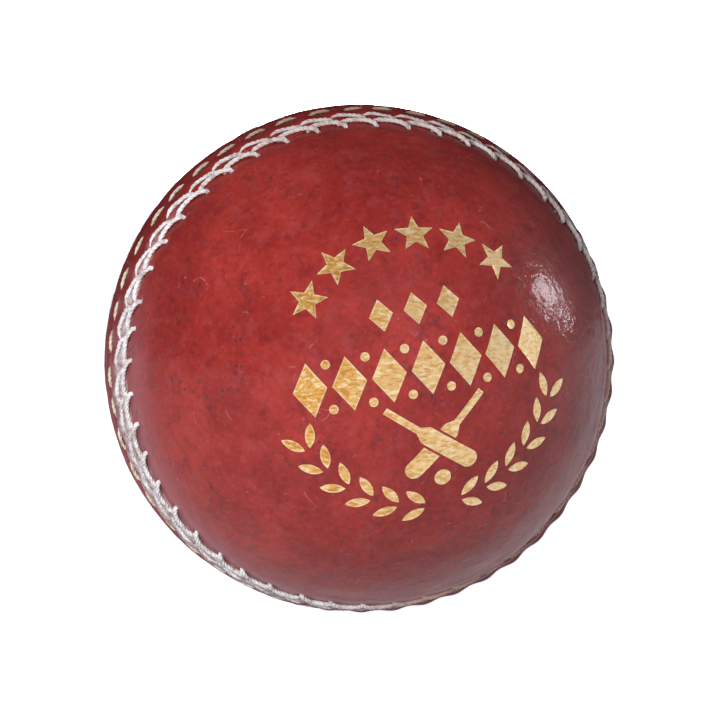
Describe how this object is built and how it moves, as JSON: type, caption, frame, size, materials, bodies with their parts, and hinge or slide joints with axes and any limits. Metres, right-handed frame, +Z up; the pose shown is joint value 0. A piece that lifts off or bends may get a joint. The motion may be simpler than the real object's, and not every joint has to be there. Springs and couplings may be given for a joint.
{
  "type": "cricket ball",
  "caption": "Leather cricket ball with a raised hand-stitched seam, a wound cork and yarn core and a plain gold foil stamp.",
  "frame": {"origin": "centre of the ball", "axes": "+Z up, the main seam lies in the XZ plane, and the stamped half faces -Y"},
  "size_m": [0.0728, 0.0715, 0.0728],
  "materials": {
    "core": "granulated cork bonded with rubber, rough",
    "yarn": "wound wool and cotton yarn, matt",
    "cork": "sheet cork, matt with dark pores",
    "lining": "plain woven cloth, matt",
    "leather": "red dyed and waxed, semi-gloss, with fine grain and handling marks",
    "panel_thread": "waxed linen, matt",
    "closing_thread": "waxed linen, beige, twisted",
    "seam_thread": "waxed linen, off-white, twisted",
    "foil": "hot-stamped gold foil, satin with worn grain"
  },
  "bodies": {
    "root": {"core": "core", "yarn_inner": "yarn", "cork_inner_1": "cork", "cork_inner_2": "cork", "cork_inner_3": "cork", "cork_inner_4": "cork", "cork_inner_5": "cork", "cork_inner_6": "cork", "yarn_middle": "yarn", "cork_outer_1": "cork", "cork_outer_2": "cork", "cork_outer_3": "cork", "cork_outer_4": "cork", "cork_outer_5": "cork", "cork_outer_6": "cork", "yarn_outer": "yarn", "lining_front": "lining", "lining_back": "lining", "leather_front_upper": "leather", "leather_front_lower": "leather", "leather_back_left": "leather", "leather_back_right": "leather", "panel_thread_front": "panel_thread", "panel_thread_back": "panel_thread", "closing_thread_front": "closing_thread", "closing_thread_back": "closing_thread", "seam_thread_front_inner": "seam_thread", "seam_thread_front_outer": "seam_thread", "seam_thread_back_inner": "seam_thread", "seam_thread_back_outer": "seam_thread", "foil_stars": "foil", "foil_band": "foil", "foil_bats": "foil", "foil_laurel": "foil"}
  },
  "joints": []
}
